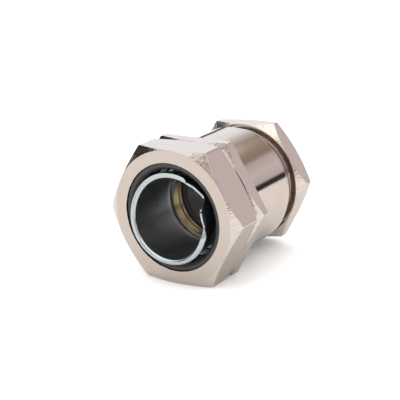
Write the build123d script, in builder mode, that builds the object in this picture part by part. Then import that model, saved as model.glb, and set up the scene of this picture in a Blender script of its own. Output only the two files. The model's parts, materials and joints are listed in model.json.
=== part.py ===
from build123d import *
import math
import os

# Cable gland for a cable that runs inside a flexible metal hose.
# +X is the gland's axis and points out of the threaded entry. The origin is the centre of the entry's end
# face, so the gland lies at negative X with its hose end furthest out. +Z is up, with a flat of the large
# hexagons underneath. All sizes are in millimetres.

# --- threads, all right-handed, with 60 degree flanks ---
pitch = 1.5
crest_width = 0.22
root_width = 0.356  # between two turns of an outside thread
inside_land = 0.15  # between two turns of an inside thread
thread_clearance = 0.12  # radial, of an inside thread's root round an outside thread's crest
flank_angle = 30.0

# --- fits between pieces ---
seat_gap = 0.15  # along the axis, between pieces that press on each other
turning_clearance = 0.1  # radial, ferrule in its socket
loose_clearance = 0.25  # radial, seal and washer in the chamber
clamp_clearance = 0.5  # radial, clamp ring under the nose's thread
nut_gap = 0.5  # along the axis, between the nut and the body's collar
clamp_gap = 1.0  # along the axis, between the clamp ring's cone and the body's mouth

# --- entry body ---
entry_thread_radius = 16.0  # M32 x 1.5
entry_thread_length = 7.6
entry_wall = 2.88  # round the entry thread, at the hexagon's flats
entry_step = 1.0  # radial, from the joint thread's crest to the hexagon's flats
entry_hex_length = 6.2
entry_hex_clocking = -2.5  # degrees that its hexagon stops short of the others
neck_length = 1.2
neck_relief = 0.3  # radial, below the joint thread's root
exposed_turns = 3  # turns of thread left in view beside the neck
engaged_turns = 7.5
chamber_wall = 1.7
seat_length = 2.0
seat_rise = 3.0
throat_length = 0.8
pocket_relief = 0.1  # radial, gasket pocket behind the entry thread
pocket_wall = 1.1
gasket_thickness = 1.5
gasket_step = 0.4  # radial, gasket's bore outside the throat

# --- seal and washer ---
seal_bore_radius = 10.0
seal_wall = 5.25
seal_ring_spacing = 1.6  # radial, from the bore's rim to the first groove and on to the next
seal_grooves = 2
seal_groove_width = 0.5
seal_groove_depth = 1.2
washer_thickness = 1.5
washer_step = 1.2  # radial, washer's bore outside the seal's

# --- gland body ---
tightening_turns = 3
tightening_room = 0.45  # left between the entry's tip and the shoulder when fully tightened
shoulder_step = 0.3  # radial, shoulder's bore outside the washer's
shoulder_length = 3.0
sleeve_wall = 1.18
sleeve_length = 20.4
collar_step = 1.7  # radial, from the sleeve to the collar's flats
collar_length = 4.3
mouth_wall = 1.0
mouth_angle = 30.0
nose_length = 5.2
relief_length = 1.2
relief_depth = 0.3

# --- hose ferrule and clamp ring ---
sheet = 0.6
ferrule_bore_radius = 12.3
ferrule_overhang = 3.5  # that its rim stands out of the nut
ferrule_skirt_setback = 0.5  # of its skirt behind the body's mouth
roll = 0.9  # radius of its rolled rim
rim_gap_from = 30.0  # degrees from the top, towards -Y, where the rolled rim is missing
rim_gap_to = 120.0
rim_notch_to = 75.0
rim_notch_depth = 3.0
hose_space = 1.9  # radial, for the hose between ferrule and clamp ring
clamp_nose_wall = 2.05
clamp_step = 0.85  # radial, of the shoulder that the nut's lip holds
clamp_recess = 0.5  # of its front behind the nut's face
clamp_length = 7.4
clamp_lead_in = 0.9

# --- compression nut ---
nut_wall = 1.88  # round its thread, at the flats
nut_length = 11.2
nut_lip_length = 2.0

hex_chamfer_angle = 30.0
nut_chamfer_lead = 0.7  # that a chamfer's circle is larger than the flats
entry_chamfer_lead = 0.2
edge = 0.3  # broken edges
sink = 0.05  # of a thread's ridge in what it grows from or is cut from

# --- thread form ---
flank = math.tan(math.radians(flank_angle))
inside_crest_width = crest_width + 2 * thread_clearance
thread_depth = (pitch - crest_width - root_width) / 2 / flank
inside_depth = (pitch - inside_land - inside_crest_width) / 2 / flank - thread_clearance

# --- radii, from the cable and the entry outwards ---
seal_radius = seal_bore_radius + seal_wall
washer_bore_radius = seal_bore_radius + washer_step
shoulder_bore_radius = washer_bore_radius + shoulder_step
chamber_radius = seal_radius + loose_clearance
throat_radius = chamber_radius - seat_rise
gasket_bore_radius = throat_radius + gasket_step
gasket_pocket_radius = entry_thread_radius + pocket_relief
entry_bore_radius = entry_thread_radius - inside_depth
joint_root_radius = max(chamber_radius + chamber_wall, gasket_pocket_radius + pocket_wall)
joint_thread_radius = joint_root_radius + thread_depth
joint_bore_radius = joint_thread_radius + thread_clearance
neck_radius = joint_root_radius - neck_relief
sleeve_radius = joint_bore_radius + sleeve_wall
entry_across_flats = 2 * max(entry_thread_radius + thread_clearance + entry_wall,
                             joint_thread_radius + entry_step)

# --- radii, from the hose outwards ---
tube_radius = ferrule_bore_radius + sheet
rim_radius = ferrule_bore_radius + 2 * roll
clamp_bore_radius = tube_radius + hose_space
skirt_radius = clamp_bore_radius + sheet
socket_radius = skirt_radius + turning_clearance
clamp_nose_radius = clamp_bore_radius + clamp_nose_wall
nut_lip_radius = clamp_nose_radius + seat_gap
clamp_radius = clamp_nose_radius + clamp_step
nut_root_radius = clamp_radius + clamp_clearance
nut_thread_radius = nut_root_radius + thread_depth
nut_bore_radius = nut_thread_radius + thread_clearance
mouth_radius = nut_root_radius - mouth_wall
nut_across_flats = 2 * max(nut_bore_radius + nut_wall, sleeve_radius + collar_step)

# --- stations along the axis ---
hex_front = -entry_hex_length
neck_front = hex_front - neck_length
body_end = neck_front - exposed_turns * pitch
entry_tip = body_end - engaged_turns * pitch
shoulder_rear = entry_tip - tightening_turns * pitch - tightening_room
shoulder_front = shoulder_rear - shoulder_length
sleeve_front = body_end - sleeve_length
collar_front = sleeve_front - collar_length
nut_rear = collar_front - nut_gap
nut_front = nut_rear - nut_length
nose_front = nut_rear - nose_length
relief_front = collar_front - relief_length
mouth_slope = math.tan(math.radians(mouth_angle))
mouth_end = nose_front + (mouth_radius - socket_radius) / mouth_slope
ferrule_rear = shoulder_front - seat_gap
ferrule_skirt_front = mouth_end + ferrule_skirt_setback
rim_front = nut_front - ferrule_overhang
gasket_floor = -entry_thread_length - gasket_thickness
seat_small = gasket_floor - throat_length
seat_large = seat_small - seat_length
washer_front = shoulder_rear + seat_gap
washer_rear = washer_front + washer_thickness
seal_front = washer_rear + seat_gap
seal_tail = seat_small - seat_gap
clamp_front = nut_front + clamp_recess
clamp_shoulder = nut_front + nut_lip_length + seat_gap
clamp_rear = clamp_front + clamp_length
clamp_cone_start = nose_front - clamp_gap - (clamp_radius - mouth_radius) / mouth_slope
clamp_rear_radius = clamp_radius - (clamp_rear - clamp_cone_start) * mouth_slope


def turn(*outline, mode=Mode.ADD):
    """Turn an outline of (x, radius) points about the gland's axis."""
    with BuildSketch(Plane.XY) as section:
        with BuildLine():
            Polyline(*outline, close=True)
        make_face()
    revolve(section.sketch, axis=Axis.X, mode=mode)


def bore(start, end, radius):
    """Bore from one station to another."""
    turn((start, 0), (end, 0), (end, radius), (start, radius), mode=Mode.SUBTRACT)


def hexagon(start, end, across_flats, chamfer_radius, clocking=0.0):
    """A hexagon bar piece whose corners are turned down to chamfer_radius at both ends."""
    corner = across_flats / 2 / math.cos(math.radians(30))
    run = (corner - chamfer_radius) * math.tan(math.radians(hex_chamfer_angle))
    with BuildPart() as bar:
        with BuildSketch(Plane.YZ.offset(start)):
            RegularPolygon(across_flats / 2, 6, major_radius=False, rotation=clocking)
        extrude(amount=end - start)
        turn((start, 0), (start, chamfer_radius), (start + run, corner), (end - run, corner),
             (end, chamfer_radius), (end, 0), mode=Mode.INTERSECT)
    return bar.part


def helical_ridge(foot_radius, top_radius, top_width, start, end):
    """A thread's ridge, wound in whole turns from start to end or just past it."""
    height = top_radius - foot_radius
    half_top = top_width / 2
    half_foot = half_top + height * flank
    turns = math.ceil((end - start) / pitch)
    with BuildPart() as ridge:
        with BuildLine() as path:
            Helix(pitch, turns * pitch, foot_radius, center=(start, 0, 0), direction=(1, 0, 0))
        foot = path.line @ 0
        outwards = Vector(0, foot.Y, foot.Z)
        with BuildSketch(Plane(origin=foot, x_dir=outwards, z_dir=path.line % 0)):
            with BuildLine():
                Polyline((0, -half_foot), (height, -half_top), (height, half_top), (0, half_foot), close=True)
            make_face()
        sweep(is_frenet=True)
    return ridge.part


def outside_thread(crest_radius, start, end):
    """The ridge of an outside thread, sunk in its core and chamfered at both ends."""
    root_radius = crest_radius - thread_depth
    foot_radius = root_radius - sink
    with BuildPart() as thread:
        add(helical_ridge(foot_radius, crest_radius, crest_width, start - pitch, end + pitch))
        turn((start, 0), (start, root_radius), (start + thread_depth, crest_radius + sink),
             (end - thread_depth, crest_radius + sink), (end, root_radius), (end, 0), mode=Mode.INTERSECT)
    return thread.part


def inside_thread(crest_radius, start, mouth):
    """What an inside thread takes away, from its blind start to past the mouth."""
    foot_radius = crest_radius - inside_depth - sink
    groove_radius = crest_radius + thread_clearance
    return helical_ridge(foot_radius, groove_radius, inside_crest_width, start, mouth + pitch)


def lead_in(mouth, depth, radius):
    """A countersink at a bore's mouth, at 45 degrees; depth is signed along the axis."""
    turn((mouth, 0), (mouth + depth, 0), (mouth + depth, radius), (mouth, radius + abs(depth)),
         mode=Mode.SUBTRACT)


# --- entry body: hexagon, neck and outside thread, with the seal's chamber and the threaded entry in it ---
entry_hex = hexagon(hex_front, 0, entry_across_flats, entry_across_flats / 2 + entry_chamfer_lead,
                    entry_hex_clocking)
entry_ridge = outside_thread(joint_thread_radius, entry_tip, neck_front)
entry_groove = inside_thread(entry_thread_radius, -entry_thread_length + pitch, 0)

with BuildPart() as entry_body:
    add(entry_hex)
    turn((hex_front, 0), (hex_front, neck_radius), (neck_front, neck_radius), (neck_front, joint_root_radius),
         (entry_tip + edge, joint_root_radius), (entry_tip, joint_root_radius - edge), (entry_tip, 0))
    add(entry_ridge)
    bore(entry_tip, seat_large, chamber_radius)
    lead_in(entry_tip, edge, chamber_radius)
    turn((seat_large, 0), (seat_large, chamber_radius), (seat_small, throat_radius), (seat_small, 0),
         mode=Mode.SUBTRACT)
    bore(seat_small, gasket_floor, throat_radius)
    bore(gasket_floor, -entry_thread_length, gasket_pocket_radius)
    bore(-entry_thread_length, 0, entry_bore_radius)
    lead_in(0, -thread_depth, entry_bore_radius)
    add(entry_groove, mode=Mode.SUBTRACT)

# --- entry gasket, held by its rim in the groove at the entry's floor ---
gasket_radius = gasket_pocket_radius - seat_gap
gasket_rear = -entry_thread_length - seat_gap
with BuildPart() as entry_gasket:
    turn((gasket_floor, gasket_bore_radius), (gasket_floor, gasket_radius),
         (gasket_rear, gasket_radius), (gasket_rear, gasket_bore_radius))

# --- cable seal, with a coned tail that seats in the entry body and rings cut in its face ---
seal_tail_radius = throat_radius - loose_clearance
bore_chamfer = 2 * edge
with BuildPart() as cable_seal:
    turn((seal_front, seal_bore_radius + bore_chamfer), (seal_front, seal_radius - edge),
         (seal_front + edge, seal_radius), (seat_large - seat_gap, seal_radius),
         (seal_tail, seal_tail_radius), (seal_tail, seal_bore_radius),
         (seal_front + bore_chamfer, seal_bore_radius))
    for ring in range(seal_grooves):
        groove_radius = seal_bore_radius + (ring + 1) * seal_ring_spacing
        turn((seal_front, groove_radius - seal_groove_width / 2),
             (seal_front + seal_groove_depth, groove_radius - seal_groove_width / 2),
             (seal_front + seal_groove_depth, groove_radius + seal_groove_width / 2),
             (seal_front, groove_radius + seal_groove_width / 2), mode=Mode.SUBTRACT)

# --- slip washer, between the seal and the body's shoulder ---
with BuildPart() as slip_washer:
    turn((washer_front, washer_bore_radius), (washer_front, seal_radius - edge),
         (washer_front + edge, seal_radius), (washer_rear, seal_radius), (washer_rear, washer_bore_radius))

# --- gland body: sleeve, hexagonal collar and threaded nose ---
relief_radius = nut_root_radius - relief_depth
end_chamfer = 2 * edge
collar = hexagon(collar_front, sleeve_front, nut_across_flats, nut_across_flats / 2 + nut_chamfer_lead)
nose_ridge = outside_thread(nut_thread_radius, nose_front, relief_front)

with BuildPart() as gland_body:
    add(collar)
    turn((sleeve_front, 0), (sleeve_front, sleeve_radius), (body_end - end_chamfer, sleeve_radius),
         (body_end, sleeve_radius - end_chamfer), (body_end, 0))
    turn((collar_front, 0), (collar_front, relief_radius), (relief_front, relief_radius),
         (relief_front, nut_root_radius),
         (nose_front + edge, nut_root_radius), (nose_front, nut_root_radius - edge), (nose_front, 0))
    add(nose_ridge)
    turn((nose_front, 0), (nose_front, mouth_radius), (mouth_end, socket_radius), (mouth_end, 0),
         mode=Mode.SUBTRACT)
    bore(mouth_end, shoulder_front, socket_radius)
    bore(shoulder_front, shoulder_rear, shoulder_bore_radius)
    lead_in(shoulder_front, edge, shoulder_bore_radius)
    bore(shoulder_rear, body_end, joint_bore_radius)
    lead_in(body_end, -edge, joint_bore_radius)

# --- hose ferrule: sheet-metal tube with a rolled rim, a flange and a skirt that cups the hose's end ---
roll_centre = (rim_front + roll, ferrule_bore_radius + roll)
roll_drop = roll / 2  # straight end of the rim, past its half circle


def cut_back(from_angle, to_angle, depth):
    """Cut the tube's end back to depth between two angles from the top, measured towards -Y."""
    reach = 2 * rim_radius
    steps = 4
    angles = [from_angle + (to_angle - from_angle) * step / steps for step in range(steps + 1)]
    corners = [(-reach * math.sin(math.radians(a)), reach * math.cos(math.radians(a))) for a in angles]
    with BuildSketch(Plane.YZ.offset(rim_front - sheet)) as slice_face:
        with BuildLine():
            Polyline((0, 0), *corners, close=True)
        make_face()
    extrude(slice_face.sketch, amount=sheet + depth, mode=Mode.SUBTRACT)


with BuildPart() as hose_ferrule:
    turn((roll_centre[0], ferrule_bore_radius), (roll_centre[0], tube_radius),
         (ferrule_rear - sheet, tube_radius), (ferrule_rear - sheet, clamp_bore_radius),
         (ferrule_skirt_front, clamp_bore_radius),
         (ferrule_skirt_front, skirt_radius), (ferrule_rear - edge, skirt_radius),
         (ferrule_rear, skirt_radius - edge), (ferrule_rear, ferrule_bore_radius))
    with BuildSketch(Plane.XY):
        with Locations(roll_centre):
            Circle(roll)
            Circle(roll - sheet, mode=Mode.SUBTRACT)
        with Locations(roll_centre):
            Rectangle(2 * roll, 2 * roll, align=(Align.MIN, Align.CENTER), mode=Mode.SUBTRACT)
        with Locations((roll_centre[0] + roll_drop / 2, rim_radius - sheet / 2)):
            Rectangle(roll_drop, sheet)
    revolve(axis=Axis.X)
    cut_back(rim_gap_from, rim_gap_to, roll)
    cut_back(rim_gap_from, rim_notch_to, roll + rim_notch_depth)

# --- clamp ring, held behind the nut's lip and coned to be squeezed onto the hose by the body's mouth ---
with BuildPart() as clamp_ring:
    turn((clamp_front, clamp_bore_radius + clamp_lead_in), (clamp_front, clamp_nose_radius - edge),
         (clamp_front + edge, clamp_nose_radius), (clamp_shoulder, clamp_nose_radius),
         (clamp_shoulder, clamp_radius), (clamp_cone_start, clamp_radius),
         (clamp_rear, clamp_rear_radius), (clamp_rear, clamp_bore_radius),
         (clamp_front + clamp_lead_in, clamp_bore_radius))

# --- compression nut ---
nut_hex = hexagon(nut_front, nut_rear, nut_across_flats, nut_across_flats / 2 + nut_chamfer_lead)
with BuildPart() as compression_nut:
    add(nut_hex)
    bore(nut_front, nut_front + nut_lip_length, nut_lip_radius)
    lead_in(nut_front, edge, nut_lip_radius)
    bore(nut_front + nut_lip_length, nut_rear, nut_bore_radius)
    lead_in(nut_rear, -edge, nut_bore_radius)

pieces = {
    "entry_body": entry_body,
    "entry_gasket": entry_gasket,
    "cable_seal": cable_seal,
    "slip_washer": slip_washer,
    "gland_body": gland_body,
    "hose_ferrule": hose_ferrule,
    "clamp_ring": clamp_ring,
    "compression_nut": compression_nut,
}
os.makedirs("parts", exist_ok=True)
for label, piece in pieces.items():
    piece.part.label = label
    export_step(piece.part, f"parts/{label}.step")
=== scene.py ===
import json
import math

import bpy
from mathutils import Matrix, Vector


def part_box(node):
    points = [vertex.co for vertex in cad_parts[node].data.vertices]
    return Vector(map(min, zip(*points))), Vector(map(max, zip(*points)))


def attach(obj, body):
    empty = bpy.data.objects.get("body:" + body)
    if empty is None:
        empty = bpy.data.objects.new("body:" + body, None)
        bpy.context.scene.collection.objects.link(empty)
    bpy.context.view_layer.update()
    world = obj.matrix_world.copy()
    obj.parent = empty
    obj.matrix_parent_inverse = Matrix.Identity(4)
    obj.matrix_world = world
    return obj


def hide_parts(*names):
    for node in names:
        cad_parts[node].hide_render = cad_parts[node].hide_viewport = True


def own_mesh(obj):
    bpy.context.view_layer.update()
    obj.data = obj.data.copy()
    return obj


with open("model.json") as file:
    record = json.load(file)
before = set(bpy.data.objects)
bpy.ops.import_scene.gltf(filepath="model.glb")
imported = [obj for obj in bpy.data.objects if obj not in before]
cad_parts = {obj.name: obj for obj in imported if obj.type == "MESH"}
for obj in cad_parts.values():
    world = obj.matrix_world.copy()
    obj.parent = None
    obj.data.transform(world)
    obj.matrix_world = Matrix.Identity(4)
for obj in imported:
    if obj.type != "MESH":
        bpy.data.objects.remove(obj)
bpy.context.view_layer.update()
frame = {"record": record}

MM = 0.001
merged = 0.002 * MM  # points nearer than this are one
TURN = 2 * math.pi
SMOOTH = math.radians(28)  # a sharper corner than this stays a corner
RING_STEPS = 144  # straight steps round a turned piece

# --- places and sizes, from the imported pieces, in metres ---
nut_low, nut_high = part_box("compression_nut")
body_low, body_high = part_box("gland_body")
entry_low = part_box("entry_body")[0]
ferrule_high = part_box("hose_ferrule")[1]
clamp_low, clamp_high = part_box("clamp_ring")
washer_low, washer_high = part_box("slip_washer")
seal_low, seal_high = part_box("cable_seal")
gasket_low, gasket_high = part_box("entry_gasket")
mounts = {mount["name"]: mount for mount in frame["record"]["mounts"]}

nut_front = nut_low.x
nut_rear = nut_high.x
flats = nut_high.z  # from the axis to a flat of the nut and collar
nose_front = body_low.x
body_end = body_high.x
entry_tip = entry_low.x
entry_radius = mounts["entry_thread"]["dims"]["r_mm"] * MM
seal_bore = mounts["cable_clamp"]["dims"]["r_mm"] * MM
tube_bore = mounts["hose_passage"]["dims"]["r_mm"] * MM

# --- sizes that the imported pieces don't give directly ---
pitch = 1.5 * MM
thread_depth = 0.8 * MM
crest_width = 0.22 * MM
half_flank = math.radians(30)
nut_gap = 0.5 * MM
collar_front = nut_rear + nut_gap
sleeve_front = collar_front + 4.3 * MM
sleeve_radius = 19.3 * MM
joint_thread_radius = 18 * MM
nut_thread_radius = 19 * MM
thread_room = 0.12 * MM
inside_depth = 0.65 * MM
inside_land = 0.15 * MM
sunk = 0.05 * MM  # of a thread's ridge in what it grows from
corner_round = 0.45 * MM  # of a hexagon bar's long corners
cone_inset = 0.13 * MM  # of a corner cone's foot inside the flats
over = MM  # how far a cutter overshoots
lip_radius = 17 * MM  # of the nut's front opening
lip_length = 2 * MM
hex_length = 6.2 * MM  # of the entry's hexagon
neck_length = 1.2 * MM
neck_radius = 16.9 * MM
entry_flats = 19 * MM
entry_clocking = math.radians(-2.5)
socket_radius = 15.5 * MM
mouth_radius = 17.2 * MM
shoulder_radius = 11.5 * MM
shoulder_front = ferrule_high.x + 0.15 * MM
shoulder_rear = shoulder_front + 3 * MM
chamber_radius = 15.5 * MM
sheet = 0.6 * MM


def deselect():
    bpy.ops.object.select_all(action="DESELECT")


def activate(piece):
    deselect()
    piece.select_set(True)
    bpy.context.view_layer.objects.active = piece


# --- camera and stage ---
def add_camera():
    """A long lens a little above and to the left of the hose end."""
    aim = Vector((-0.0278, 0.0036, -0.0009))
    distance = 0.3644
    azimuth = math.radians(-55.16)
    elevation = math.radians(17.8)
    roll = math.radians(-3.12)
    away = Vector((math.sin(azimuth) * math.cos(elevation), -math.cos(azimuth) * math.cos(elevation),
                   math.sin(elevation)))
    bpy.ops.object.camera_add()
    camera = bpy.context.object
    camera.name = "camera"
    turn = (-away).to_track_quat("-Z", "Y").to_matrix().to_4x4()
    camera.matrix_world = Matrix.Translation(aim + away * distance) @ turn @ Matrix.Rotation(roll, 4, "Z")
    camera.data.sensor_width = 36
    camera.data.lens = 104.1
    camera.data.clip_start = 0.01
    bpy.context.scene.camera = camera


def add_floor(finish):
    """A wide floor under the nut's lowest flat."""
    deselect()
    bpy.ops.mesh.primitive_plane_add(size=6, location=(0, 0, nut_low.z))
    floor = bpy.context.object
    floor.name = "floor"
    floor.data.materials.append(finish)


# --- modelling ---
def tidy(piece):
    """Merge doubles and turn every face outwards."""
    activate(piece)
    bpy.ops.object.mode_set(mode="EDIT")
    bpy.ops.mesh.select_all(action="SELECT")
    bpy.ops.mesh.remove_doubles(threshold=merged)
    bpy.ops.mesh.normals_make_consistent(inside=False)
    bpy.ops.object.mode_set(mode="OBJECT")


def turned(name, outline, steps=RING_STEPS):
    """An outline of (x, radius) points spun about the gland's axis.

    It starts and ends on the axis, or else it is closed into a ring."""
    is_ring = outline[0][1] > 0
    path = outline + outline[:1] if is_ring else outline
    deselect()
    bpy.ops.mesh.primitive_plane_add(size=MM, location=(outline[0][0], 0, outline[0][1]))
    piece = bpy.context.object
    piece.name = name
    bpy.ops.object.transform_apply(location=True, rotation=True, scale=True)
    bpy.ops.object.mode_set(mode="EDIT")
    bpy.ops.mesh.select_all(action="SELECT")
    bpy.ops.mesh.merge(type="CENTER")
    for (x, radius), (next_x, next_radius) in zip(path, path[1:]):
        step = (next_x - x, 0, next_radius - radius)
        bpy.ops.mesh.extrude_region_move(TRANSFORM_OT_translate={"value": step})
    bpy.ops.mesh.select_all(action="SELECT")
    bpy.ops.mesh.remove_doubles(threshold=merged)
    bpy.ops.mesh.select_all(action="SELECT")
    bpy.ops.mesh.spin(steps=steps, angle=TURN, center=(0, 0, 0), axis=(1, 0, 0))
    bpy.ops.object.mode_set(mode="OBJECT")
    tidy(piece)
    return piece


def hexagon_bar(name, start, end, half_flats, clocking=0.0):
    """A length of drawn hexagon bar with a flat on top and its six long corners slightly round."""
    deselect()
    corner = half_flats / math.cos(TURN / 12)
    bpy.ops.mesh.primitive_cylinder_add(vertices=6, radius=corner, depth=end - start)
    piece = bpy.context.object
    piece.name = name
    piece.matrix_world = (Matrix.Translation(((start + end) / 2, 0, 0)) @ Matrix.Rotation(clocking, 4, "X")
                          @ Matrix.Rotation(TURN / 4, 4, "Y"))
    bpy.ops.object.transform_apply(location=True, rotation=True, scale=True)
    bpy.ops.object.mode_set(mode="EDIT")
    bpy.ops.mesh.select_mode(type="EDGE")
    bpy.ops.mesh.select_all(action="DESELECT")
    bpy.ops.object.mode_set(mode="OBJECT")
    points = piece.data.vertices
    for edge in piece.data.edges:
        one, other = (points[i].co.x for i in edge.vertices)
        edge.select = abs(one - other) > (end - start) / 2
    bpy.ops.object.mode_set(mode="EDIT")
    bpy.ops.mesh.bevel(offset=corner_round, segments=4, affect="EDGES")
    bpy.ops.mesh.select_mode(type="VERT")
    bpy.ops.object.mode_set(mode="OBJECT")
    return piece


def combine(piece, tool, how):
    """Cut with, join or keep what is shared with another solid, which is used up."""
    activate(piece)
    bpy.ops.object.modifier_add(type="BOOLEAN")
    change = piece.modifiers[-1]
    change.operation = how
    change.solver = "EXACT"
    change.object = tool
    bpy.ops.object.modifier_apply(modifier=change.name)
    activate(tool)
    bpy.ops.object.delete()
    activate(piece)


def chamfer_envelope(start, end, half_flats, front_slope, rear_slope):
    """What turning leaves of a hexagon bar: corners coned down at the front and, with a slope, the rear.

    A slope is in degrees from the end face; the cones start just inside the flats."""
    corner = half_flats / math.cos(TURN / 12) + 0.2 * MM
    foot = half_flats - cone_inset
    rise = corner - foot
    outline = [(start, 0), (start, foot), (start + rise * math.tan(math.radians(front_slope)), corner)]
    if rear_slope:
        outline += [(end - rise * math.tan(math.radians(rear_slope)), corner), (end, foot), (end, 0)]
    else:
        outline += [(end + over, corner), (end + over, 0)]
    return turned("envelope", outline)


def break_edges(piece, width, segments=2):
    """Round every corner a little, as plating and tumbling leave it."""
    activate(piece)
    bpy.ops.object.modifier_add(type="BEVEL")
    bevel = piece.modifiers[-1]
    bevel.width = width
    bevel.segments = segments
    bevel.limit_method = "ANGLE"
    bevel.angle_limit = SMOOTH
    bpy.ops.object.modifier_apply(modifier=bevel.name)


def smooth(piece):
    """Shade rounds smooth and keep flats flat."""
    activate(piece)
    bpy.ops.object.shade_smooth_by_angle(angle=SMOOTH)
    bpy.ops.object.modifier_add(type="WEIGHTED_NORMAL")
    weighted = piece.modifiers[-1]
    weighted.keep_sharp = True
    bpy.ops.object.modifier_apply(modifier=weighted.name)


def thread_ridge(foot, top, top_width, start, turns, steps=96):
    """A right-hand thread's ridge, wound from a trapezoid."""
    half_top = top_width / 2
    half_foot = half_top + abs(top - foot) * math.tan(half_flank)
    deselect()
    bpy.ops.mesh.primitive_plane_add(size=MM)
    piece = bpy.context.object
    piece.name = "ridge"
    corners = [(start - half_foot, foot), (start + half_foot, foot),
               (start + half_top, top), (start - half_top, top)]
    order = sorted(piece.data.vertices, key=lambda v: math.atan2(v.co.y, v.co.x))
    for vertex, (x, radius) in zip(order, corners):
        vertex.co = (x, 0, radius)
    bpy.ops.object.modifier_add(type="SCREW")
    screw = piece.modifiers[-1]
    screw.axis = "X"
    screw.screw_offset = pitch
    screw.iterations = turns
    screw.steps = steps
    screw.render_steps = steps
    screw.use_smooth_shade = False
    bpy.ops.object.modifier_apply(modifier=screw.name)
    bpy.ops.object.mode_set(mode="EDIT")
    bpy.ops.mesh.select_all(action="SELECT")
    bpy.ops.mesh.remove_doubles(threshold=merged)
    bpy.ops.mesh.select_all(action="SELECT")
    bpy.ops.mesh.fill_holes(sides=4)
    bpy.ops.object.mode_set(mode="OBJECT")
    tidy(piece)
    return piece


def join(piece, part):
    """Make a part one mesh with a piece."""
    activate(part)
    piece.select_set(True)
    bpy.context.view_layer.objects.active = piece
    bpy.ops.object.join()


def add_outside_thread(piece, crest_radius, start, end):
    """Wind a thread on a turned core from one station to another, chamfered at both ends."""
    inset = 0.03 * MM  # keeps the ridge's ends inside the core
    root = crest_radius - thread_depth
    first, last = start + inset, end - inset
    turns = math.ceil((end - start) / pitch) + 1
    ridge = thread_ridge(root - sunk, crest_radius, crest_width, start - pitch, turns)
    clear = crest_radius + inset
    run = clear - root + inset
    combine(ridge, turned("run_out", [(first, 0), (first, root - inset), (first + run, clear),
                                      (last - run, clear), (last, root - inset), (last, 0)]), "INTERSECT")
    join(piece, ridge)


def add_inside_thread(piece, crest_radius, phase, start, end):
    """Wind a thread in a bore that clears an outside thread, which runs through phase at the top."""
    inset = 0.03 * MM
    wall = crest_radius + thread_room
    top = crest_radius - inside_depth
    first_turn = phase + pitch / 2 + math.floor((start - phase) / pitch - 1.5) * pitch
    turns = math.ceil((end - first_turn) / pitch) + 1
    ridge = thread_ridge(wall + sunk, top, inside_land, first_turn, turns)
    under = top - inset
    run = wall - under
    combine(ridge, turned("run_out", [(start + inset, wall + over), (start + inset, wall + inset),
                                      (start + run, under), (end - run, under), (end - inset, wall + inset),
                                      (end - inset, wall + over)]), "INTERSECT")
    join(piece, ridge)


def from_axis(point):
    return math.hypot(point.y, point.z)


# where each finish stands on a plated piece
TURNED, DRAWN, CHAMFER_GLINTS, BARE, JOINT_THREAD, NUT_THREAD = range(6)


def plate(piece):
    """Nickel on every face: drawn on a hexagon's flats, faceted with painted glints on its coned corners,
    turned elsewhere.

    The plating doesn't reach the bore behind the ferrule, which stays bare."""
    for finish in (nickel_turned, nickel_drawn, nickel_chamfer, brass, nickel_joint_thread,
                   nickel_nut_thread):
        piece.data.materials.append(finish)
    flat_area = 4 * MM * MM
    bare_within = socket_radius - 0.2 * MM
    for face in piece.data.polygons:
        face.material_index = TURNED
        centre = face.center
        radius = from_axis(centre)
        outward = (face.normal.y * centre.y + face.normal.z * centre.z) / max(radius, MM)
        on_entry_hexagon = centre.x > -hex_length and radius > neck_radius + MM
        if radius > sleeve_radius + 0.1 * MM or on_entry_hexagon:
            if abs(face.normal.x) < 0.02 and face.area > flat_area:
                face.material_index = DRAWN
            elif 0.75 < abs(face.normal.x) < 0.95 and outward > 0.3:
                face.material_index = CHAMFER_GLINTS
        if max(from_axis(piece.data.vertices[index].co) for index in face.vertices) < bare_within:
            face.material_index = BARE


def plate_thread(piece, start, end, crest_radius, finish):
    """The thread's own finish, on its ridge and on the core between the turns."""
    deepest = crest_radius - 1.1 * MM
    highest = crest_radius + 0.1 * MM
    for face in piece.data.polygons:
        if start < face.center.x < end and deepest < from_axis(face.center) < highest:
            face.material_index = finish


def finish_piece(piece, node, body):
    """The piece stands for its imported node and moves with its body."""
    piece.name = node + "_detail"
    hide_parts(node)
    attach(piece, body)
    return piece


# --- finishes ---
def add_node(tree, kind, place, **settings):
    """A shader node at a place in the editor, with its properties set by name."""
    node = tree.nodes.new(kind)
    node.location = place
    for key, value in settings.items():
        setattr(node, key, value)
    return node


def link(tree, source, target):
    tree.links.new(source, target)


def math_node(tree, operation, place, first, second=None, clamp=False):
    """A Math node; each input is a socket or a number."""
    node = add_node(tree, "ShaderNodeMath", place, operation=operation, use_clamp=clamp)
    for socket, value in zip(node.inputs, (first, second)):
        if value is None:
            continue
        if isinstance(value, (int, float)):
            socket.default_value = value
        else:
            link(tree, value, socket)
    return node.outputs[0]


def new_group(name, inputs, outputs):
    """A shader node group with named value inputs (name, default) and named value outputs."""
    group = bpy.data.node_groups.new(name, "ShaderNodeTree")
    for label, default in inputs:
        socket = group.interface.new_socket(label, in_out="INPUT", socket_type="NodeSocketFloat")
        socket.default_value = default
    for label in outputs:
        group.interface.new_socket(label, in_out="OUTPUT", socket_type="NodeSocketFloat")
    given = add_node(group, "NodeGroupInput", (-900, 0))
    result = add_node(group, "NodeGroupOutput", (700, 0))
    return group, given, result


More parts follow.
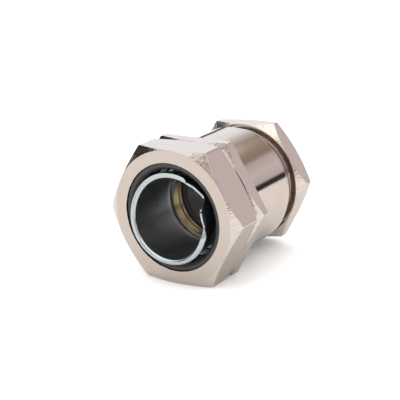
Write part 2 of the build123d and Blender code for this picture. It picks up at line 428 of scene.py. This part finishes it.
def axis_coordinates(tree):
    """Along the axis, distance from the axis and angle round it, for any point of the gland."""
    place = add_node(tree, "ShaderNodeTexCoord", (-1500, 200))
    split = add_node(tree, "ShaderNodeSeparateXYZ", (-1350, 200))
    link(tree, place.outputs["Object"], split.inputs[0])
    along, across, up = split.outputs
    squares = (math_node(tree, "MULTIPLY", (-1200, 100), across, across),
               math_node(tree, "MULTIPLY", (-1200, -50), up, up))
    radius = math_node(tree, "SQRT", (-1000, 50), math_node(tree, "ADD", (-1100, 50), *squares))
    angle = math_node(tree, "ARCTAN2", (-1100, 300), across, up)
    return along, radius, angle


def make_turning_marks():
    """Fine rings that a lathe tool leaves: they step along the axis on a barrel and outwards on a face."""
    group, given, result = new_group("turning marks", [("Rings per mm", 5.0), ("Unevenness", 0.5)],
                                     ["Height", "Tone"])
    along, radius, angle = axis_coordinates(group)
    run = math_node(group, "ADD", (-800, 200), along, radius)
    scale = math_node(group, "MULTIPLY", (-800, -100), given.outputs["Rings per mm"], 1000)
    rings = add_node(group, "ShaderNodeTexNoise", (-400, 200), noise_dimensions="1D")
    rings.inputs["Detail"].default_value = 3
    link(group, math_node(group, "MULTIPLY", (-600, 200), run, scale), rings.inputs["W"])
    rings.inputs["Scale"].default_value = 1
    drift = add_node(group, "ShaderNodeTexNoise", (-400, -150), noise_dimensions="1D")
    drift.inputs["Scale"].default_value = 1.6
    link(group, angle, drift.inputs["W"])
    share = math_node(group, "MULTIPLY", (-150, -150), drift.outputs["Fac"], given.outputs["Unevenness"])
    link(group, math_node(group, "MULTIPLY", (100, 200), rings.outputs["Fac"],
                          math_node(group, "SUBTRACT", (0, 0), 1.0, share)), result.inputs["Height"])
    link(group, rings.outputs["Fac"], result.inputs["Tone"])
    return group


def make_handling_marks():
    """Hairline scratches, dull patches and specks that plating picks up."""
    group, given, result = new_group("handling marks", [("Scale", 1.0)],
                                     ["Scratches", "Patches", "Specks"])
    place = add_node(group, "ShaderNodeTexCoord", (-1300, 0))
    sized = add_node(group, "ShaderNodeVectorMath", (-1100, 0), operation="SCALE")
    link(group, place.outputs["Object"], sized.inputs[0])
    per_metre = math_node(group, "MULTIPLY", (-1100, -200), given.outputs["Scale"], 1000)
    link(group, per_metre, sized.inputs["Scale"])
    threads = []
    for place_y, turn in ((300, 0.6), (100, 2.1)):
        mapped = add_node(group, "ShaderNodeMapping", (-800, place_y))
        mapped.inputs["Rotation"].default_value = (turn, turn * 0.7, turn * 1.3)
        mapped.inputs["Scale"].default_value = (0.06, 2.2, 2.2)
        link(group, sized.outputs[0], mapped.inputs["Vector"])
        hair = add_node(group, "ShaderNodeTexNoise", (-600, place_y))
        hair.inputs["Scale"].default_value = 2.0
        hair.inputs["Detail"].default_value = 1
        link(group, mapped.outputs[0], hair.inputs["Vector"])
        thin = add_node(group, "ShaderNodeMapRange", (-400, place_y))
        thin.inputs["From Min"].default_value = 0.68
        thin.inputs["From Max"].default_value = 0.74
        link(group, hair.outputs["Fac"], thin.inputs["Value"])
        threads.append(thin.outputs[0])
    link(group, math_node(group, "MAXIMUM", (-100, 200), *threads), result.inputs["Scratches"])
    patches = add_node(group, "ShaderNodeTexNoise", (-600, -150))
    patches.inputs["Scale"].default_value = 0.16
    patches.inputs["Detail"].default_value = 4
    link(group, sized.outputs[0], patches.inputs["Vector"])
    link(group, patches.outputs["Fac"], result.inputs["Patches"])
    specks = add_node(group, "ShaderNodeTexVoronoi", (-600, -450), feature="F1")
    specks.inputs["Scale"].default_value = 1.3
    link(group, sized.outputs[0], specks.inputs["Vector"])
    dots = add_node(group, "ShaderNodeMapRange", (-300, -450))
    dots.inputs["From Min"].default_value = 0.13
    dots.inputs["From Max"].default_value = 0.05
    link(group, specks.outputs["Distance"], dots.inputs["Value"])
    link(group, dots.outputs[0], result.inputs["Specks"])
    return group


def make_edge_wear():
    """How near a point is to a sharp corner, broken up by noise."""
    group, given, result = new_group("edge wear", [("Width mm", 0.3), ("Break up", 0.5)], ["Mask"])
    facing = add_node(group, "ShaderNodeNewGeometry", (-700, 200))
    soft = add_node(group, "ShaderNodeBevel", (-700, 0), samples=4)
    width = math_node(group, "MULTIPLY", (-850, -50), given.outputs["Width mm"], MM)
    link(group, width, soft.inputs["Radius"])
    same = add_node(group, "ShaderNodeVectorMath", (-500, 100), operation="DOT_PRODUCT")
    link(group, soft.outputs[0], same.inputs[0])
    link(group, facing.outputs["Normal"], same.inputs[1])
    corner = add_node(group, "ShaderNodeMapRange", (-300, 100))
    corner.inputs["From Min"].default_value = 0.985
    corner.inputs["From Max"].default_value = 0.9
    link(group, same.outputs["Value"], corner.inputs["Value"])
    place = add_node(group, "ShaderNodeTexCoord", (-700, -250))
    grit = add_node(group, "ShaderNodeTexNoise", (-500, -250))
    grit.inputs["Scale"].default_value = 900
    link(group, place.outputs["Object"], grit.inputs["Vector"])
    loss = math_node(group, "MULTIPLY", (-250, -250), grit.outputs["Fac"], given.outputs["Break up"])
    left = math_node(group, "SUBTRACT", (0, 50), corner.outputs[0], loss, clamp=True)
    link(group, left, result.inputs["Mask"])
    return group


def use_group(tree, group, place, **values):
    node = add_node(tree, "ShaderNodeGroup", place, node_tree=group)
    for label, value in values.items():
        node.inputs[label.replace("_", " ")].default_value = value
    return node


def blend_colour(tree, place, share, first, second):
    """A mix of two colours by a mask; a colour is a socket or three numbers."""
    node = add_node(tree, "ShaderNodeMix", place, data_type="RGBA")
    link(tree, share, node.inputs["Factor"])
    for socket, value in ((node.inputs[6], first), (node.inputs[7], second)):
        if isinstance(value, tuple):
            socket.default_value = (*value, 1)
        else:
            link(tree, value, socket)
    return node.outputs[2]


def spread(tree, place, value, low, high):
    """Map a 0 to 1 mask onto a range."""
    node = add_node(tree, "ShaderNodeMapRange", place)
    node.inputs["To Min"].default_value = low
    node.inputs["To Max"].default_value = high
    link(tree, value, node.inputs["Value"])
    return node.outputs[0]


def bump(tree, place, height, depth, under=None):
    """Raise a surface by a height mask, over another bump if one is given; depth in metres."""
    node = add_node(tree, "ShaderNodeBump", place)
    node.inputs["Strength"].default_value = 1
    node.inputs["Distance"].default_value = depth
    link(tree, height, node.inputs["Height"])
    if under is not None:
        link(tree, under, node.inputs["Normal"])
    return node.outputs[0]


def new_finish(name, metallic):
    """A material with a Principled shader; returns the material, its tree and its shader."""
    finish = bpy.data.materials.new(name)
    finish.use_nodes = True
    shader = finish.node_tree.nodes["Principled BSDF"]
    shader.location = (900, 200)
    shader.inputs["Metallic"].default_value = metallic
    return finish, finish.node_tree, shader


turning_marks = make_turning_marks()
handling_marks = make_handling_marks()
edge_wear = make_edge_wear()
NICKEL = (0.65, 0.58, 0.52)
NICKEL_DULL = (0.61, 0.53, 0.465)
NICKEL_BRIGHT = (0.78, 0.73, 0.68)


def make_nickel(name, rings, ring_depth, low_roughness, high_roughness):
    """Nickel plate over turned brass: warm grey, finely ringed, dulled in patches, bright at its corners."""
    finish, tree, shader = new_finish(name, 1)
    marks = use_group(tree, turning_marks, (-400, -200), Rings_per_mm=rings)
    handling = use_group(tree, handling_marks, (-400, 100))
    wear = use_group(tree, edge_wear, (-400, 400), Width_mm=0.25)
    body_colour = blend_colour(tree, (0, 300), handling.outputs["Patches"], NICKEL, NICKEL_DULL)
    worn = blend_colour(tree, (250, 350), wear.outputs["Mask"], body_colour, NICKEL_BRIGHT)
    specks = math_node(tree, "MULTIPLY", (250, 550), handling.outputs["Specks"], 0.35)
    link(tree, blend_colour(tree, (500, 400), specks, worn, (0.2, 0.15, 0.11)), shader.inputs["Base Color"])
    tone = math_node(tree, "ADD", (0, 0), math_node(tree, "MULTIPLY", (-150, 0), marks.outputs["Tone"], 0.5),
                     math_node(tree, "MULTIPLY", (-150, -100), handling.outputs["Patches"], 0.5))
    link(tree, spread(tree, (250, 0), tone, low_roughness, high_roughness), shader.inputs["Roughness"])
    ringed = bump(tree, (300, -250), marks.outputs["Height"], ring_depth)
    link(tree, bump(tree, (600, -250), handling.outputs["Scratches"], -0.0006 * MM, ringed),
         shader.inputs["Normal"])
    return finish


def make_threaded_nickel(name, crest_radius):
    """Nickel on a thread: bright nickel on the crests, and painted shade in the valleys, a dark brown that
    deepens into them, heavier in some patches.
    """
    finish, tree, shader = new_finish(name, 1)
    radius = axis_coordinates(tree)[1]
    # painted shade: the colour darkens from the crests down into the valleys between the turns
    valley_shade = add_node(tree, "ShaderNodeMapRange", (-400, 0))
    valley_shade.inputs["From Min"].default_value = crest_radius - 0.06 * MM
    valley_shade.inputs["From Max"].default_value = crest_radius - 0.42 * MM
    link(tree, radius, valley_shade.inputs["Value"])
    handling = use_group(tree, handling_marks, (-400, 300))
    share = math_node(tree, "MULTIPLY", (-100, 100), valley_shade.outputs[0],
                      spread(tree, (-200, 250), handling.outputs["Patches"], 0.75, 1.1), clamp=True)
    # painted shade: dark brown in the valleys, bright nickel on the crests
    link(tree, blend_colour(tree, (300, 300), share, NICKEL_BRIGHT, (0.1, 0.06, 0.03)),
         shader.inputs["Base Color"])
    link(tree, spread(tree, (300, 0), share, 0.12, 0.4), shader.inputs["Roughness"])
    return finish


def make_chamfer_nickel_with_painted_glints():
    """Nickel on a coned corner, where the tool chattered and left small facets, each with a painted glint:
    brighter nickel colour at its centre.
    """
    finish, tree, shader = new_finish("nickel, chamfer with painted glints", 1)
    radius, angle = axis_coordinates(tree)[1:]
    round_and_out = add_node(tree, "ShaderNodeCombineXYZ", (-700, 0))
    link(tree, math_node(tree, "MULTIPLY", (-900, 100), angle, 22), round_and_out.inputs[0])
    link(tree, math_node(tree, "MULTIPLY", (-900, -50), radius, 420), round_and_out.inputs[1])
    facets = add_node(tree, "ShaderNodeTexVoronoi", (-500, 0), feature="F1")
    facets.inputs["Scale"].default_value = 1.9
    link(tree, round_and_out.outputs[0], facets.inputs["Vector"])
    ripples = add_node(tree, "ShaderNodeTexNoise", (-500, -300))
    ripples.inputs["Scale"].default_value = 3.0
    ripples.inputs["Detail"].default_value = 2
    link(tree, round_and_out.outputs[0], ripples.inputs["Vector"])
    height = math_node(tree, "ADD", (-200, -100), facets.outputs["Distance"], ripples.outputs["Fac"])
    link(tree, bump(tree, (300, -200), height, 0.03 * MM), shader.inputs["Normal"])
    # painted glints: the facets' centres are coloured bright nickel
    link(tree, blend_colour(tree, (300, 300), facets.outputs["Distance"], NICKEL_BRIGHT, NICKEL),
         shader.inputs["Base Color"])
    link(tree, spread(tree, (300, 50), ripples.outputs["Fac"], 0.08, 0.2), shader.inputs["Roughness"])
    return finish


def make_zinc(name, dull, bright, low_roughness, high_roughness):
    """Zinc plate on rolled sheet: cool, slightly brushed along the tube, with dull spangles."""
    finish, tree, shader = new_finish(name, 1)
    along, _, angle = axis_coordinates(tree)
    handling = use_group(tree, handling_marks, (-400, 100), Scale=1.4)
    wear = use_group(tree, edge_wear, (-400, 400), Width_mm=0.2, Break_up=0.3)
    stretched = add_node(tree, "ShaderNodeCombineXYZ", (-700, -300))
    link(tree, math_node(tree, "MULTIPLY", (-900, -200), angle, 38), stretched.inputs[0])
    link(tree, math_node(tree, "MULTIPLY", (-900, -350), along, 60), stretched.inputs[1])
    brushed = add_node(tree, "ShaderNodeTexNoise", (-500, -300))
    brushed.inputs["Scale"].default_value = 2.2
    brushed.inputs["Detail"].default_value = 6
    link(tree, stretched.outputs[0], brushed.inputs["Vector"])
    colour = blend_colour(tree, (0, 300), handling.outputs["Patches"], dull, bright)
    link(tree, blend_colour(tree, (300, 300), wear.outputs["Mask"], colour, (0.85, 0.9, 0.93)),
         shader.inputs["Base Color"])
    link(tree, spread(tree, (300, 0), brushed.outputs["Fac"], low_roughness, high_roughness),
         shader.inputs["Roughness"])
    grain = bump(tree, (300, -250), brushed.outputs["Fac"], 0.01 * MM)
    link(tree, bump(tree, (600, -250), handling.outputs["Scratches"], -0.0003 * MM, grain),
         shader.inputs["Normal"])
    return finish


def make_brass():
    """Bare brass as it comes off the lathe, with clear rings and a brown tarnish between them."""
    finish, tree, shader = new_finish("turned brass", 1)
    marks = use_group(tree, turning_marks, (-400, -200), Rings_per_mm=3.0, Unevenness=0.3)
    handling = use_group(tree, handling_marks, (-400, 100))
    tarnish = math_node(tree, "MULTIPLY", (-100, 200), marks.outputs["Tone"], handling.outputs["Patches"])
    link(tree, blend_colour(tree, (300, 300), tarnish, (0.55, 0.47, 0.27), (0.16, 0.12, 0.05)),
         shader.inputs["Base Color"])
    link(tree, spread(tree, (300, 0), marks.outputs["Tone"], 0.16, 0.36), shader.inputs["Roughness"])
    link(tree, bump(tree, (300, -250), marks.outputs["Height"], 0.03 * MM), shader.inputs["Normal"])
    return finish


def make_rubber():
    """Black moulded rubber: fine grain, faint bloom, dull."""
    finish, tree, shader = new_finish("black rubber", 0)
    place = add_node(tree, "ShaderNodeTexCoord", (-800, 0))
    grain = add_node(tree, "ShaderNodeTexNoise", (-500, -100))
    grain.inputs["Scale"].default_value = 4200
    grain.inputs["Detail"].default_value = 3
    link(tree, place.outputs["Object"], grain.inputs["Vector"])
    bloom = add_node(tree, "ShaderNodeTexNoise", (-500, 200))
    bloom.inputs["Scale"].default_value = 160
    link(tree, place.outputs["Object"], bloom.inputs["Vector"])
    link(tree, blend_colour(tree, (0, 300), bloom.outputs["Fac"], (0.02, 0.017, 0.024), (0.05, 0.044, 0.058)),
         shader.inputs["Base Color"])
    link(tree, spread(tree, (0, 0), grain.outputs["Fac"], 0.38, 0.62), shader.inputs["Roughness"])
    link(tree, bump(tree, (0, -250), grain.outputs["Fac"], 0.02 * MM), shader.inputs["Normal"])
    return finish


def make_nylon():
    """Black nylon, turned smooth, with a satin sheen and pale scuffs at its corners."""
    finish, tree, shader = new_finish("black nylon", 0)
    marks = use_group(tree, turning_marks, (-400, -200), Rings_per_mm=2.5)
    wear = use_group(tree, edge_wear, (-400, 300), Width_mm=0.25, Break_up=0.8)
    scuffed = math_node(tree, "MULTIPLY", (-100, 300), wear.outputs["Mask"], 0.5)
    link(tree, blend_colour(tree, (200, 300), scuffed, (0.03, 0.029, 0.031), (0.14, 0.14, 0.145)),
         shader.inputs["Base Color"])
    link(tree, spread(tree, (200, 0), marks.outputs["Tone"], 0.3, 0.5), shader.inputs["Roughness"])
    link(tree, bump(tree, (200, -250), marks.outputs["Height"], 0.01 * MM), shader.inputs["Normal"])
    return finish


def make_paper():
    """The table's matt white paper, with the faintest tooth.

    It is held back a little where the metal mirrors it."""
    finish, tree, shader = new_finish("white paper", 0)
    place = add_node(tree, "ShaderNodeTexCoord", (-600, 0))
    tooth = add_node(tree, "ShaderNodeTexNoise", (-400, 0))
    tooth.inputs["Scale"].default_value = 900
    link(tree, place.outputs["Object"], tooth.inputs["Vector"])
    white = blend_colour(tree, (0, 200), tooth.outputs["Fac"], (0.9, 0.9, 0.9), (0.93, 0.93, 0.93))
    rays = add_node(tree, "ShaderNodeLightPath", (0, 500))
    link(tree, blend_colour(tree, (300, 300), rays.outputs["Is Glossy Ray"], white, (0.635, 0.615, 0.605)),
         shader.inputs["Base Color"])
    shader.inputs["Roughness"].default_value = 0.9
    return finish


nickel_turned = make_nickel("nickel, turned", 5.0, 0.002 * MM, 0.04, 0.16)
nickel_drawn = make_nickel("nickel, drawn flat", 1.2, 0.001 * MM, 0.06, 0.18)
nickel_chamfer = make_chamfer_nickel_with_painted_glints()
nickel_joint_thread = make_threaded_nickel("nickel, joint thread", joint_thread_radius)
nickel_nut_thread = make_threaded_nickel("nickel, nut thread", nut_thread_radius)
zinc = make_zinc("zinc plate", (0.5, 0.56, 0.58), (0.62, 0.68, 0.7), 0.12, 0.3)
# a rougher, darker copy of the zinc: painted shade for the inside of the ferrule's tube
zinc_dulled_with_painted_shade_inside = make_zinc("zinc plate, dulled, painted shade inside", (0.22, 0.245, 0.26), (0.34, 0.37, 0.39), 0.24, 0.4)
brass = make_brass()
rubber = make_rubber()
nylon = make_nylon()
paper = make_paper()


def build_nut():
    """The compression nut: chamfered hexagon with a stepped, threaded bore."""
    nut = hexagon_bar("nut", nut_front - over, nut_rear + over, flats)
    combine(nut, chamfer_envelope(nut_front, nut_rear, flats, 31, 30), "INTERSECT")
    rear = nut_rear + MM
    front = nut_front - MM
    shelf = nut_front + lip_length
    bore = nut_thread_radius + thread_room
    mouth = bore + 0.3 * MM
    combine(nut, turned("bore", [(front, 0), (front, lip_radius), (shelf, lip_radius), (shelf, bore),
                                 (nut_rear - 0.3 * MM, bore), (rear, mouth + MM), (rear, 0)]), "DIFFERENCE")
    break_edges(nut, 0.12 * MM)
    add_inside_thread(nut, nut_thread_radius, nose_front, nose_front - 1.5 * pitch, nut_rear - 0.3 * MM)
    plate(nut)
    smooth(nut)
    return finish_piece(nut, "compression_nut", "nut")


def build_body():
    """The gland body: sleeve, hexagonal collar and threaded nose."""
    body = hexagon_bar("body", collar_front - over, sleeve_front, flats)
    combine(body, chamfer_envelope(collar_front, sleeve_front, flats, 30, 0), "INTERSECT")
    root = nut_thread_radius - thread_depth
    relief_front = collar_front - 1.2 * MM
    middle = (collar_front + sleeve_front) / 2
    core = turned("core", [(middle, 0), (middle, sleeve_radius), (body_end, sleeve_radius), (body_end, 0)])
    combine(body, core, "UNION")
    combine(body, turned("nose", [(middle, 0), (middle, root - 0.3 * MM), (relief_front, root - 0.3 * MM),
                                  (relief_front, root), (nose_front, root), (nose_front, 0)]), "UNION")
    mouth_end = nose_front + (mouth_radius - socket_radius) / math.tan(math.radians(30))
    front = nose_front - MM
    rear = body_end + MM
    wide_mouth = mouth_radius + MM * math.tan(math.radians(30))
    bore = joint_thread_radius + thread_room
    mouth = bore + 0.3 * MM
    combine(body, turned("socket", [(front, 0), (front, wide_mouth), (mouth_end, socket_radius),
                                    (shoulder_front, socket_radius), (shoulder_front, shoulder_radius),
                                    (shoulder_rear, shoulder_radius), (shoulder_rear, bore),
                                    (body_end - 0.3 * MM, bore), (rear, mouth + MM), (rear, 0)]),
            "DIFFERENCE")
    break_edges(body, 0.15 * MM)
    add_outside_thread(body, nut_thread_radius, nose_front, relief_front)
    add_inside_thread(body, joint_thread_radius, entry_tip, entry_tip - 3 * pitch, body_end - 0.3 * MM)
    plate(body)
    plate_thread(body, nose_front, relief_front, nut_thread_radius, NUT_THREAD)
    smooth(body)
    return finish_piece(body, "gland_body", "body")


def build_entry():
    """The entry body: hexagon, neck and outside thread round the seal's chamber."""
    hex_front = -hex_length
    neck_front = hex_front - neck_length
    root = joint_thread_radius - thread_depth
    entry = hexagon_bar("entry", hex_front - over, over, entry_flats, entry_clocking)
    combine(entry, chamfer_envelope(hex_front, 0, entry_flats, 36, 30), "INTERSECT")
    middle = hex_front / 2
    combine(entry, turned("stem", [(middle, 0), (middle, neck_radius), (neck_front, neck_radius),
                                   (neck_front, root), (entry_tip, root), (entry_tip, 0)]), "UNION")
    front = entry_tip - MM
    small = gasket_low.x - 0.8 * MM
    large = small - 2 * MM
    throat = 12.5 * MM
    wall = entry_radius + inside_depth + thread_room
    thread_end = gasket_high.x + 0.15 * MM
    combine(entry, turned("chamber", [(front, 0), (front, chamber_radius), (large, chamber_radius),
                                      (small, throat), (gasket_low.x, throat), (gasket_low.x, wall),
                                      (-0.3 * MM, wall), (MM, wall + 1.3 * MM), (MM, 0)]), "DIFFERENCE")
    break_edges(entry, 0.12 * MM)
    add_outside_thread(entry, joint_thread_radius, entry_tip, neck_front)
    add_inside_thread(entry, entry_radius + inside_depth, 0, thread_end, 0)
    plate(entry)
    plate_thread(entry, entry_tip, neck_front, joint_thread_radius, JOINT_THREAD)
    smooth(entry)
    return finish_piece(entry, "entry_body", "entry")


def eased(angle, stops):
    """A value that eases from stop to stop round the circle; stops are (degrees, value)."""
    angle = (angle - stops[0][0]) % 360 + stops[0][0]
    for (first, low), (last, high) in zip(stops, stops[1:]):
        if angle <= last:
            share = (1 - math.cos(math.pi * (angle - first) / (last - first))) / 2
            return low + (high - low) * share
    return stops[-1][1]


def build_ferrule():
    """The hose ferrule: thin sheet with a skirt, a flange, a tube and a lip that winds back round it.

    Angles run from the top towards -Y. The lip starts on the right, runs under and up the left side, and
    ends inside the nut near the top; between its ends the sheet is left as it was sheared."""
    mid = tube_bore + sheet / 2
    skirt = socket_radius - 0.1 * MM - sheet / 2
    rear = ferrule_high.x - sheet / 2
    mouth_end = nose_front + (mouth_radius - socket_radius) / math.tan(math.radians(30))
    skirt_front = mouth_end + 0.5 * MM
    tube_ends = [(93, -1.5), (112, -2.2), (225, -2.2), (345, 0.3), (386, 0.8), (400, 1.5), (415, 2.2),
                 (434, -2.1), (442, -2.2), (453, -1.5)]
    lip_shares = [(93, 0), (106, 1), (380, 1), (387, 0), (453, 0)]
    flat_shares = [(93, 0), (226, 0), (236, 1), (387, 1), (453, 0)]
    columns, tube_rows, lip_rows = 288, 14, 14
    curl = 0.6 * MM
    points, faces = [], []
    for column in range(columns):
        angle = 93 + 360 * column / columns
        end = nut_front + eased(angle, tube_ends) * MM
        lip, flat = eased(angle, lip_shares), eased(angle, flat_shares)
        row = [(skirt_front, skirt), ((skirt_front + rear) / 2, skirt), (rear - 0.5 * MM, skirt),
               (rear - 0.15 * MM, skirt - 0.15 * MM), (rear, skirt - 0.5 * MM), (rear, mid + 0.5 * MM),
               (rear - 0.15 * MM, mid + 0.15 * MM), (rear - 0.5 * MM, mid)]
        start = rear - 0.5 * MM
        row += [(start + (end - start) * step / tube_rows, mid) for step in range(1, tube_rows + 1)]
        for step in range(1, lip_rows + 1):
            share = step / lip_rows
            bend = math.radians(215) * share
            rolled = (-curl * math.sin(bend), curl * (1 - math.cos(bend)))
            turn = min(share * 3, 1) * TURN / 4
            flared = (-0.35 * MM * math.sin(turn) + 0.12 * MM * share,
                      0.35 * MM * (1 - math.cos(turn)) + max(share - 1 / 3, 0) * 1.5 * 0.95 * MM)
            row.append((end + lip * (rolled[0] + (flared[0] - rolled[0]) * flat),
                        mid + lip * (rolled[1] + (flared[1] - rolled[1]) * flat)))
        turned_by = math.radians(angle)
        points += [(x, -radius * math.sin(turned_by), radius * math.cos(turned_by)) for x, radius in row]
    rows = len(points) // columns
    for column in range(columns):
        here, there = column * rows, (column + 1) % columns * rows
        faces += [(here + i, here + i + 1, there + i + 1, there + i) for i in range(rows - 1)]
    mesh = bpy.data.meshes.new("ferrule")
    mesh.from_pydata(points, [], faces)
    ferrule = bpy.data.objects.new("ferrule", mesh)
    bpy.context.collection.objects.link(ferrule)
    tidy(ferrule)
    bpy.ops.object.modifier_add(type="SOLIDIFY")
    wall = ferrule.modifiers[-1]
    wall.thickness = sheet
    wall.offset = 0
    bpy.ops.object.modifier_apply(modifier=wall.name)
    ferrule.data.materials.append(zinc)
    ferrule.data.materials.append(zinc_dulled_with_painted_shade_inside)
    # painted shade: the faces inside the tube take the darker zinc
    for face in ferrule.data.polygons:
        centre = face.center
        radius = math.hypot(centre.y, centre.z)
        inward = face.normal.y * centre.y + face.normal.z * centre.z < -0.98 * radius
        if inward and radius < tube_bore + 0.1 * MM:
            face.material_index = 1
    smooth(ferrule)
    return finish_piece(ferrule, "hose_ferrule", "ferrule")


def build_clamp():
    """The clamp ring: a nylon ring with a coned lead-in, a shoulder for the nut's lip and a coned tail."""
    front, rear = clamp_low.x, clamp_high.x
    outer, bore = clamp_high.z, 14.8 * MM
    nose = lip_radius - 0.15 * MM
    shoulder = nut_front + lip_length + 0.15 * MM
    slope = math.tan(math.radians(30))
    cone_start = nose_front - MM - (outer - mouth_radius) / slope
    clamp = turned("clamp", [(front, bore + 0.9 * MM), (front, nose), (shoulder, nose), (shoulder, outer),
                             (cone_start, outer), (rear, outer - (rear - cone_start) * slope), (rear, bore),
                             (front + 0.9 * MM, bore)])
    break_edges(clamp, 0.2 * MM, 3)
    clamp.data.materials.append(nylon)
    smooth(clamp)
    return finish_piece(clamp, "clamp_ring", "clamp")


def build_washer():
    """The slip washer: a turned brass ring with a chamfered rim."""
    outer, bore = washer_high.z, seal_bore + 1.2 * MM
    front, rear = washer_low.x, washer_high.x
    washer = turned("washer", [(front, bore), (front, outer - 0.3 * MM), (front + 0.3 * MM, outer),
                               (rear, outer), (rear, bore)])
    break_edges(washer, 0.1 * MM)
    washer.data.materials.append(brass)
    smooth(washer)
    return finish_piece(washer, "slip_washer", "washer")


def build_seal():
    """The cable seal: a rubber ring with two rings cut in its face and a coned tail."""
    outer, front, rear = seal_high.z, seal_low.x, seal_high.x
    tail_start = rear - 2 * MM
    groove, deep = 0.25 * MM, 1.2 * MM
    outline = [(front, seal_bore + 0.6 * MM)]
    for ring in (1, 2):
        middle = seal_bore + ring * 1.6 * MM
        outline += [(front, middle - groove), (front + deep, middle - groove),
                    (front + deep, middle + groove), (front, middle + groove)]
    outline += [(front, outer), (tail_start, outer), (rear, 12.25 * MM), (rear, seal_bore),
                (front + 0.6 * MM, seal_bore)]
    seal = turned("seal", outline)
    break_edges(seal, 0.2 * MM, 3)
    seal.data.materials.append(rubber)
    smooth(seal)
    finish_piece(seal, "cable_seal", "entry")
    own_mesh(seal)
    return seal


def build_gasket():
    """The entry gasket: a flat rubber ring with rounded edges."""
    outer, front, rear = gasket_high.z, gasket_low.x, gasket_high.x
    gasket = turned("gasket", [(front, 12.9 * MM), (front, outer), (rear, outer), (rear, 12.9 * MM)])
    break_edges(gasket, 0.3 * MM, 4)
    gasket.data.materials.append(rubber)
    smooth(gasket)
    return finish_piece(gasket, "entry_gasket", "entry")


def light_the_studio():
    """A white tent: bright overhead, a cool side, a darker side and a dark gap along its lower edge.

    Polished metal mirrors the tent's bands; matt surfaces get its even light."""
    world = bpy.data.worlds.new("studio")
    bpy.context.scene.world = world
    world.use_nodes = True
    tree = world.node_tree
    even = tree.nodes["Background"]
    even.inputs["Color"].default_value = (1, 1, 1, 1)
    even.inputs["Strength"].default_value = 1.75
    way = add_node(tree, "ShaderNodeTexCoord", (-1400, 0))
    split = add_node(tree, "ShaderNodeSeparateXYZ", (-1200, 0))
    link(tree, way.outputs["Generated"], split.inputs[0])
    height = spread(tree, (-1000, 100), split.outputs["Z"], 0, 1)
    bands = add_node(tree, "ShaderNodeValToRGB", (-800, 100))
    stops = [(0.0, (0.02, 0.018, 0.016)), (0.09, (0.02, 0.018, 0.018)), (0.12, (0.68, 0.62, 0.66)),
             (0.3, (0.8, 0.73, 0.77)), (0.46, (0.66, 0.59, 0.6)), (0.5, (0.34, 0.27, 0.22)),
             (0.58, (0.42, 0.36, 0.31)), (0.63, (1.6, 1.6, 1.6)), (1.0, (1.3, 1.3, 1.3))]
    ramp = bands.color_ramp
    while len(ramp.elements) < len(stops):
        ramp.elements.new(0.5)
    for element, (place, colour) in zip(ramp.elements, stops):
        element.position = place
        element.color = (*colour, 1)
    link(tree, height, bands.inputs[0])
    left = add_node(tree, "ShaderNodeMapRange", (-1000, -200))
    left.inputs["From Min"].default_value = 0.1
    left.inputs["From Max"].default_value = 0.4
    link(tree, split.outputs["Y"], left.inputs["Value"])
    gap = add_node(tree, "ShaderNodeMapRange", (-800, -300))
    gap.inputs["From Min"].default_value = 0.1
    gap.inputs["From Max"].default_value = 0.13
    link(tree, height, gap.inputs["Value"])
    cool = blend_colour(tree, (-650, -200), gap.outputs[0], (0.02, 0.02, 0.02), (1.12, 1.16, 1.24))
    sides = blend_colour(tree, (-500, 0), left.outputs[0], bands.outputs[0], cool)
    dark = add_node(tree, "ShaderNodeVectorMath", (-1000, -500), operation="DOT_PRODUCT")
    dark.inputs[1].default_value = Vector((-0.4, 0.88, 0.28)).normalized()
    link(tree, way.outputs["Generated"], dark.inputs[0])
    corner = add_node(tree, "ShaderNodeMapRange", (-800, -500))
    corner.inputs["From Min"].default_value = 0.94
    corner.inputs["From Max"].default_value = 0.965
    link(tree, dark.outputs["Value"], corner.inputs["Value"])
    mirrored = add_node(tree, "ShaderNodeBackground", (-100, 0))
    link(tree, blend_colour(tree, (-300, 0), corner.outputs[0], sides, (0.02, 0.02, 0.02)),
         mirrored.inputs["Color"])
    rays = add_node(tree, "ShaderNodeLightPath", (-300, 400))
    choose = add_node(tree, "ShaderNodeMixShader", (200, 200))
    link(tree, rays.outputs["Is Glossy Ray"], choose.inputs[0])
    link(tree, even.outputs[0], choose.inputs[1])
    link(tree, mirrored.outputs[0], choose.inputs[2])
    link(tree, choose.outputs[0], tree.nodes["World Output"].inputs["Surface"])


add_camera()
add_floor(paper)
build_nut()
build_body()
build_entry()
build_ferrule()
build_clamp()
build_washer()
build_seal()
build_gasket()
light_the_studio()
bpy.context.scene.view_settings.view_transform = "Standard"
